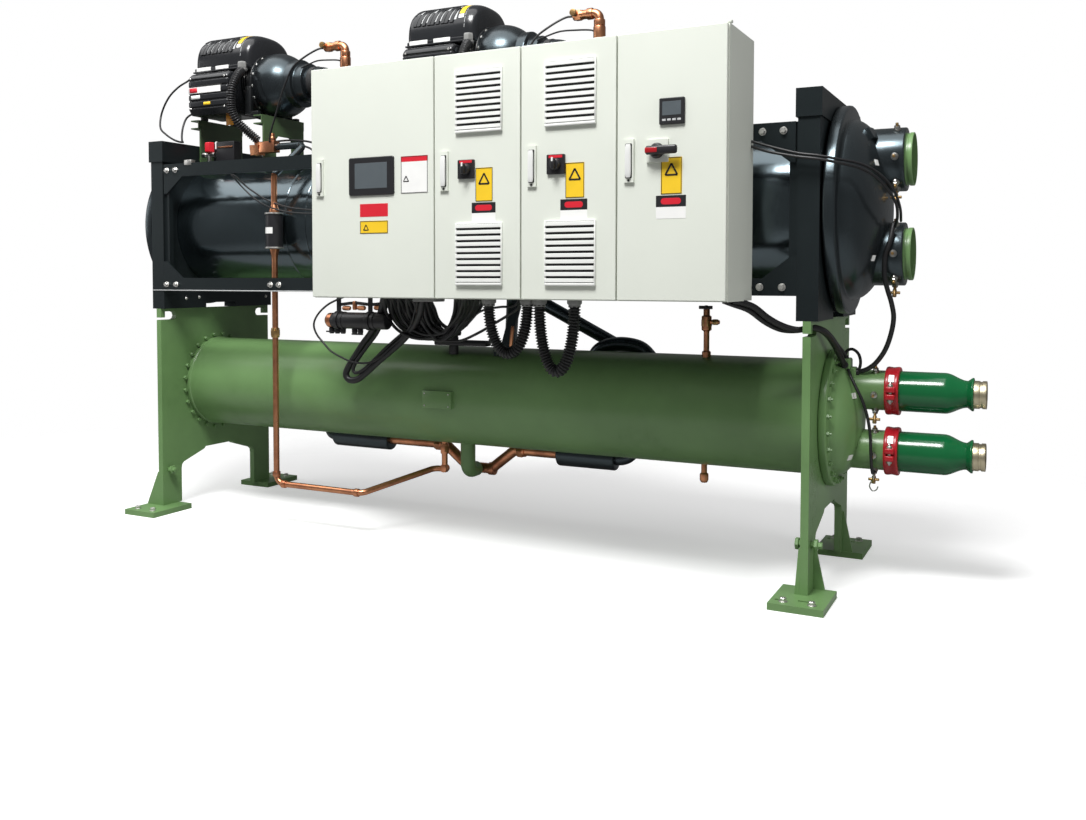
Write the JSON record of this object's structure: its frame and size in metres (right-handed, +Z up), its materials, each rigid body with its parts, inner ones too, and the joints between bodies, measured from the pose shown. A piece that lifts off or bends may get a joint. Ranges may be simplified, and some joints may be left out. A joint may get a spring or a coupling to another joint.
{
  "type": "water-cooled chiller",
  "caption": "Water-cooled chiller: insulated evaporator shell above a green condenser shell between end plates, compressors on top, control cabinet with hinged doors in front.",
  "frame": {"origin": "underside of the front left foot, below the front edge of the left end plate", "axes": "+X along the shells towards the water connections, +Y from the control cabinet to the back, +Z up from the floor"},
  "size_m": [4.3476, 1.4566, 2.6453],
  "materials": {
    "black_casting": "semi-gloss black over a casting",
    "black_insulation": "matt closed-cell foam",
    "black_paint": "satin black",
    "black_plastic": "matt moulded plastic",
    "black_rubber": "ribbed flexible hose",
    "cabinet_paint": "fine-textured light grey powder coat",
    "copper_tube": "drawn copper tube, slightly dulled",
    "dark_green_paint": "glossy dark green enamel",
    "green_paint": "satin mid-green enamel",
    "red_paint": "semi-gloss red",
    "satin_chrome": "satin plate",
    "screen": "glossy display behind a plastic bezel",
    "zinc": "zinc-plated sheet"
  },
  "bodies": {
    "frame": {"cabinet_body": "cabinet_paint", "compressor_1": "black_casting", "compressor_2": "black_casting", "condenser_cover_left": "green_paint", "condenser_nozzle_lower": "green_paint", "condenser_nozzle_upper": "green_paint", "condenser_outlet": "green_paint", "condenser_shell": "green_paint", "condenser_water_box": "green_paint", "conduit_1": "black_rubber", "conduit_2": "black_rubber", "coupling_lower": "red_paint", "coupling_upper": "red_paint", "end_plate_left": "green_paint", "end_plate_right": "green_paint", "evaporator_cover_left": "black_insulation", "evaporator_nozzle_lower": "black_insulation", "evaporator_nozzle_upper": "black_insulation", "evaporator_shell": "black_insulation", "evaporator_water_box": "black_insulation", "feed_line_left": "black_insulation", "feed_line_right": "black_insulation", "filter_drier": "black_insulation", "foot_back_left": "green_paint", "foot_back_right": "green_paint", "foot_front_left": "green_paint", "foot_front_right": "green_paint", "liquid_line": "copper_tube", "liquid_line_top": "copper_tube", "lower_manifold": "copper_tube", "mounting_plate": "zinc", "rail_lower": "black_paint", "rail_upper": "black_paint", "reducer_lower": "dark_green_paint", "reducer_upper": "dark_green_paint", "riser_1": "copper_tube", "riser_2": "copper_tube", "suction_1": "black_insulation", "suction_2": "black_insulation", "support_1": "green_paint", "support_2": "green_paint", "tube_sheet_left": "black_insulation", "tube_sheet_right": "black_insulation"},
    "door_1": {"door_1": "cabinet_paint", "touch_screen": "screen"},
    "door_2": {"door_2": "cabinet_paint", "vent_2_upper": "cabinet_paint", "vent_2_lower": "cabinet_paint"},
    "door_3": {"door_3": "cabinet_paint", "vent_3_upper": "cabinet_paint", "vent_3_lower": "cabinet_paint"},
    "door_4": {"door_4": "cabinet_paint", "power_meter": "black_plastic"},
    "lever_1": {"lever_1": "satin_chrome"},
    "lever_2": {"lever_2": "satin_chrome"},
    "lever_3": {"lever_3": "satin_chrome"},
    "lever_4": {"lever_4": "satin_chrome"},
    "breaker_knob_2": {"breaker_knob_2": "black_plastic"},
    "breaker_knob_3": {"breaker_knob_3": "black_plastic"},
    "isolator_knob": {"isolator_knob": "black_plastic"}
  },
  "joints": [
    {"name": "door_1_hinge", "type": "hinge", "parent": "frame", "child": "door_1", "pos_m": [2.00675, -0.3723, 1.718], "axis": [0, 0, 1], "range_deg": [0, 90]},
    {"name": "door_2_hinge", "type": "hinge", "parent": "frame", "child": "door_2", "pos_m": [2.42075, -0.3723, 1.718], "axis": [0, 0, 1], "range_deg": [0, 90]},
    {"name": "door_3_hinge", "type": "hinge", "parent": "frame", "child": "door_3", "pos_m": [2.83975, -0.3723, 1.718], "axis": [0, 0, 1], "range_deg": [0, 90]},
    {"name": "door_4_hinge", "type": "hinge", "parent": "frame", "child": "door_4", "pos_m": [3.27775, -0.3723, 1.718], "axis": [0, 0, 1], "range_deg": [0, 90]},
    {"name": "lever_1_lift", "type": "hinge", "parent": "door_1", "child": "lever_1", "pos_m": [1.40625, -0.3826, 1.807], "axis": [-1, 0, 0], "range_deg": [0, 30]},
    {"name": "lever_2_lift", "type": "hinge", "parent": "door_2", "child": "lever_2", "pos_m": [2.06325, -0.3826, 1.807], "axis": [-1, 0, 0], "range_deg": [0, 30]},
    {"name": "lever_3_lift", "type": "hinge", "parent": "door_3", "child": "lever_3", "pos_m": [2.47725, -0.3826, 1.807], "axis": [-1, 0, 0], "range_deg": [0, 30]},
    {"name": "lever_4_lift", "type": "hinge", "parent": "door_4", "child": "lever_4", "pos_m": [2.89625, -0.3826, 1.807], "axis": [-1, 0, 0], "range_deg": [0, 30]},
    {"name": "breaker_knob_2_turn", "type": "hinge", "parent": "door_2", "child": "breaker_knob_2", "pos_m": [2.17125, -0.3923, 1.746], "axis": [0, -1, 0], "range_deg": [0, 90]},
    {"name": "breaker_knob_3_turn", "type": "hinge", "parent": "door_3", "child": "breaker_knob_3", "pos_m": [2.58525, -0.3923, 1.746], "axis": [0, -1, 0], "range_deg": [0, 90]},
    {"name": "isolator_knob_turn", "type": "hinge", "parent": "door_4", "child": "isolator_knob", "pos_m": [3.01125, -0.3923, 1.776], "axis": [0, -1, 0], "range_deg": [0, 90]}
  ]
}
